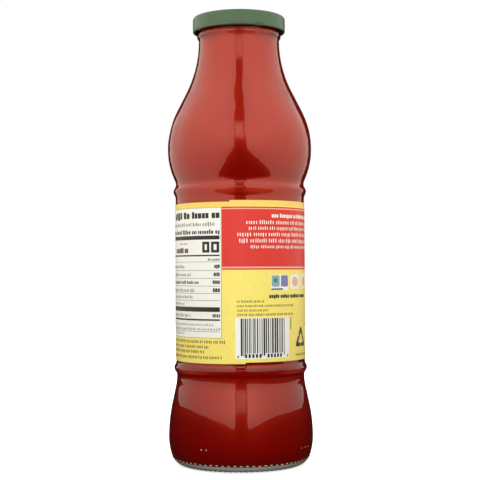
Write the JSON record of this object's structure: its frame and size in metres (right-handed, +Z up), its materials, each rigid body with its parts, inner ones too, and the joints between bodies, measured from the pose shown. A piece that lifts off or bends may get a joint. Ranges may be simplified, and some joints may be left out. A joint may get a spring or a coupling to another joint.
{
  "type": "passata bottle",
  "caption": "Tall waisted clear glass bottle filled with tomato passata, closed with a green steel lug cap and wrapped in a printed paper label between two raised rings.",
  "frame": {"origin": "centre of the ring that the bottle stands on, on the standing surface", "axes": "+Z up along the bottle's axis, -Y is the front, where the label's ends overlap"},
  "size_m": [0.077, 0.077, 0.239],
  "materials": {
    "glass": "clear soda-lime glass with a faint grey-green edge",
    "passata": "dense red tomato puree, wet against the glass",
    "lid": "satin green lacquer on pressed steel",
    "label": "coated paper printed with yellow, red and white fields and fine dark bars"
  },
  "bodies": {
    "root": {"glass_bottle": "glass", "passata": "passata", "lid": "lid", "label": "label"}
  },
  "joints": []
}
